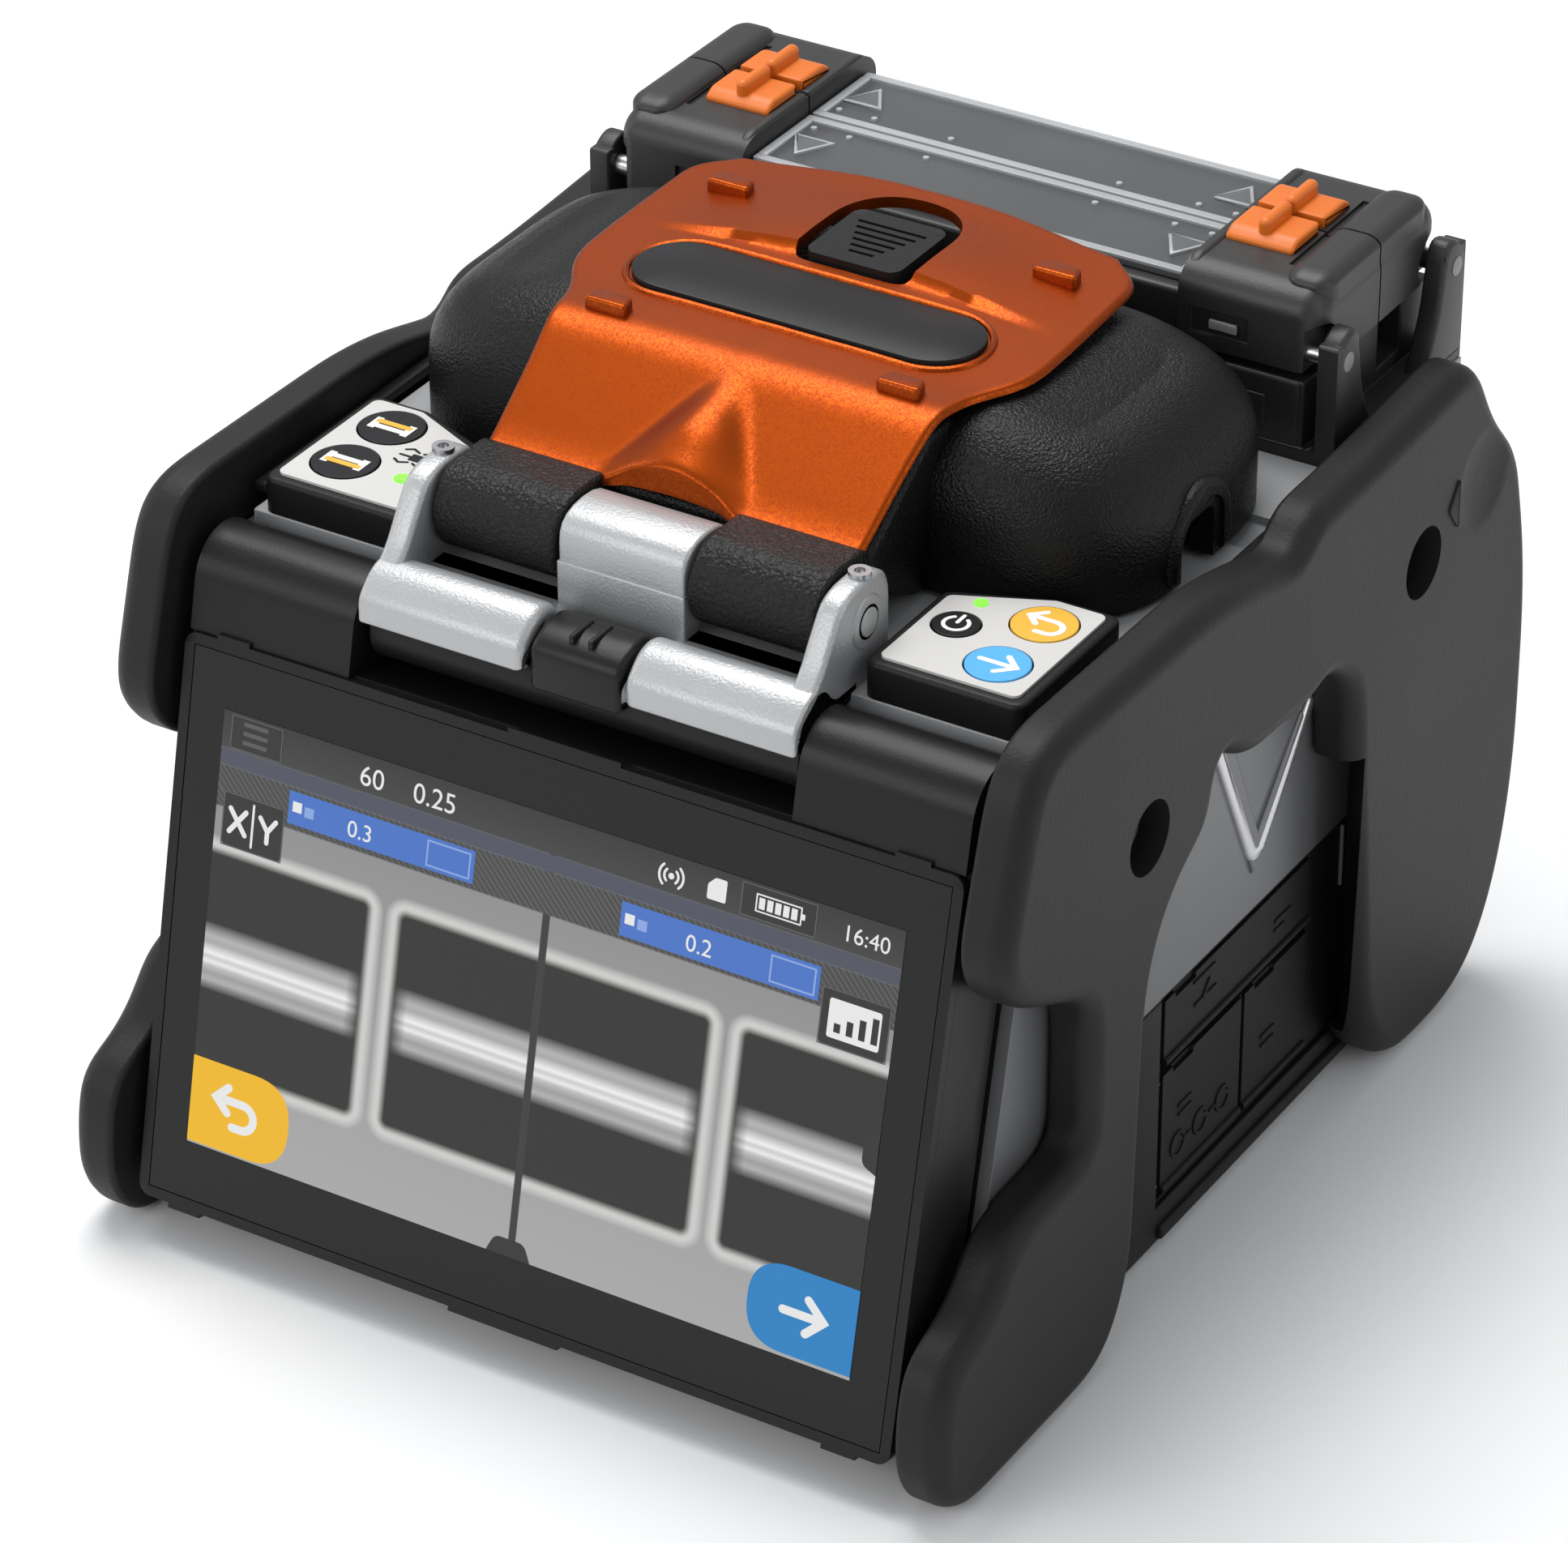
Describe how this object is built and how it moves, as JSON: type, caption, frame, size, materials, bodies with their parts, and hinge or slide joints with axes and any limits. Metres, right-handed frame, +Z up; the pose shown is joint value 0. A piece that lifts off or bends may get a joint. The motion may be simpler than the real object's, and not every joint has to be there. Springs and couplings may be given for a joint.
{
  "type": "fiber fusion splicer",
  "caption": "Portable fusion splicer for optical fibre: tilting touch screen, hinged wind cover over the splice stage, two sleeve heaters and side bumpers",
  "frame": {"origin": "under the middle of the machine, on the surface it stands on", "axes": "+X to the right seen from the screen, +Y to the back, +Z up"},
  "size_m": [0.144, 0.173, 0.1329],
  "materials": {
    "body_black": "fine satin texture",
    "port_black": "fine grain",
    "side_grey": "metallic satin",
    "deck_grey": "smooth satin",
    "bumper_rubber": "matte, fine texture",
    "screw_steel": "machined",
    "bracket_silver": "bead blasted",
    "monitor_black": "satin",
    "glass_black": "gloss",
    "display": "lit picture",
    "label_white": "printed film",
    "button_dark": "printed film",
    "button_yellow": "printed film",
    "button_blue": "printed film",
    "lamp": "clear lens",
    "cover_black": "coarse leather grain",
    "cover_orange": "metallic flake",
    "badge_grey": "satin",
    "stage_metal": "anodised",
    "ceramic_white": "ground",
    "heater_metal": "anodised",
    "window_smoke": "smoked gloss",
    "lever_orange": "moulded",
    "flap_rubber": "matte moulded",
    "board_green": "solder mask"
  },
  "bodies": {
    "chassis": {"base_tray": "body_black", "front_bulkhead": "body_black", "rear_panel": "body_black", "port_panel": "port_black", "side_panel_left": "side_grey", "side_panel_right": "side_grey", "top_deck": "deck_grey", "left_bumper": "bumper_rubber", "right_bumper": "bumper_rubber", "bumper_screws": "screw_steel", "bracket_set_screws": "screw_steel", "hinge_bracket": "bracket_silver", "cover_hinge_shaft": "screw_steel", "monitor_hinge_barrel": "body_black", "monitor_hinge_pin": "screw_steel", "button_box_right": "body_black", "button_box_left": "body_black", "button_label_right": "label_white", "button_label_left": "label_white", "status_lamps": "lamp", "stage_base": "stage_metal", "v_grooves": "ceramic_white", "electrode_holders": "ceramic_white", "electrodes": "screw_steel", "lens_barrels": "stage_metal", "camera_modules": "board_green", "feed_motors": "stage_metal", "sheath_clamp_bases": "stage_metal", "heater_trough": "body_black", "heater_plates": "heater_metal", "heater_hinge_pins": "screw_steel", "side_sockets": "body_black", "main_board": "board_green"},
    "wind_cover": {"cover_shell": "cover_black", "cover_plate": "cover_orange", "cover_badge": "badge_grey"},
    "cover_latch": {"cover_latch": "body_black"},
    "monitor": {"monitor_shell": "monitor_black", "monitor_bezel": "monitor_black", "touch_glass": "glass_black", "display_module": "display"},
    "centre_latch": {"centre_latch": "body_black"},
    "power_button": {"power_button": "button_dark"},
    "reset_button": {"reset_button": "button_yellow"},
    "set_button": {"set_button": "button_blue"},
    "heater_button_front": {"heater_button_front": "button_dark"},
    "heater_button_rear": {"heater_button_rear": "button_dark"},
    "heater_lid_front": {"heater_frame_front": "body_black", "heater_window_front": "window_smoke", "heater_levers_front": "lever_orange"},
    "heater_lid_rear": {"heater_frame_rear": "body_black", "heater_window_rear": "window_smoke", "heater_levers_rear": "lever_orange"},
    "sheath_lid_right": {"sheath_lid_right": "body_black"},
    "sheath_lid_left": {"sheath_lid_left": "body_black"},
    "port_flap_data": {"port_flap_data": "flap_rubber"},
    "port_flap_output": {"port_flap_output": "flap_rubber"},
    "port_flap_input": {"port_flap_input": "flap_rubber"},
    "battery_pack": {"battery_pack": "body_black"},
    "fan_rotor": {"fan_rotor": "body_black"}
  },
  "joints": [
    {"name": "cover_hinge", "type": "hinge", "parent": "chassis", "child": "wind_cover", "pos_m": [0, -0.0438, 0.111], "axis": [1, 0, 0], "range_deg": [0, 100]},
    {"name": "cover_latch_slide", "type": "slide", "parent": "wind_cover", "child": "cover_latch", "axis": [0, 1, 0], "range_m": [0, 0.004], "stiffness_N_per_m": 150, "springref_m": -0.001},
    {"name": "monitor_tilt", "type": "hinge", "parent": "chassis", "child": "monitor", "pos_m": [0, -0.0554, 0.0964], "axis": [-1, 0, 0], "range_deg": [0, 70]},
    {"name": "centre_latch_slide", "type": "slide", "parent": "chassis", "child": "centre_latch", "axis": [0, 0, 1], "range_m": [0, 0.0015], "stiffness_N_per_m": 200, "springref_m": -0.001},
    {"name": "power_button_press", "type": "slide", "parent": "chassis", "child": "power_button", "axis": [0, 0, -1], "range_m": [0, 0.0006], "stiffness_N_per_m": 400, "springref_m": -0.0004},
    {"name": "reset_button_press", "type": "slide", "parent": "chassis", "child": "reset_button", "axis": [0, 0, -1], "range_m": [0, 0.0006], "stiffness_N_per_m": 400, "springref_m": -0.0004},
    {"name": "set_button_press", "type": "slide", "parent": "chassis", "child": "set_button", "axis": [0, 0, -1], "range_m": [0, 0.0006], "stiffness_N_per_m": 400, "springref_m": -0.0004},
    {"name": "heater_button_front_press", "type": "slide", "parent": "chassis", "child": "heater_button_front", "axis": [0, 0, -1], "range_m": [0, 0.0006], "stiffness_N_per_m": 400, "springref_m": -0.0004},
    {"name": "heater_button_rear_press", "type": "slide", "parent": "chassis", "child": "heater_button_rear", "axis": [0, 0, -1], "range_m": [0, 0.0006], "stiffness_N_per_m": 400, "springref_m": -0.0004},
    {"name": "heater_lid_front_hinge", "type": "hinge", "parent": "chassis", "child": "heater_lid_front", "pos_m": [0, 0.0415, 0.118], "axis": [1, 0, 0], "range_deg": [0, 60]},
    {"name": "heater_lid_rear_hinge", "type": "hinge", "parent": "chassis", "child": "heater_lid_rear", "pos_m": [0, 0.0753, 0.118], "axis": [-1, 0, 0], "range_deg": [0, 95]},
    {"name": "sheath_lid_right_hinge", "type": "hinge", "parent": "chassis", "child": "sheath_lid_right", "pos_m": [0.027, 0.0155, 0.106], "axis": [-1, 0, 0], "range_deg": [0, 60]},
    {"name": "sheath_lid_left_hinge", "type": "hinge", "parent": "chassis", "child": "sheath_lid_left", "pos_m": [-0.027, 0.0155, 0.106], "axis": [-1, 0, 0], "range_deg": [0, 60]},
    {"name": "port_flap_data_hinge", "type": "hinge", "parent": "chassis", "child": "port_flap_data", "pos_m": [0.06375, 0.005, 0.0316], "axis": [0, 1, 0], "range_deg": [0, 95]},
    {"name": "port_flap_output_hinge", "type": "hinge", "parent": "chassis", "child": "port_flap_output", "pos_m": [0.06375, 0.005, 0.0098], "axis": [0, 1, 0], "range_deg": [0, 95]},
    {"name": "port_flap_input_hinge", "type": "hinge", "parent": "chassis", "child": "port_flap_input", "pos_m": [0.06375, 0.005, 0.0098], "axis": [0, 1, 0], "range_deg": [0, 95]},
    {"name": "battery_slide", "type": "slide", "parent": "chassis", "child": "battery_pack", "axis": [0, 1, 0], "range_m": [0, 0.06]},
    {"name": "fan_spin", "type": "hinge", "parent": "chassis", "child": "fan_rotor", "pos_m": [-0.041, 0.0705, 0.078], "axis": [0, 1, 0], "continuous": true}
  ]
}
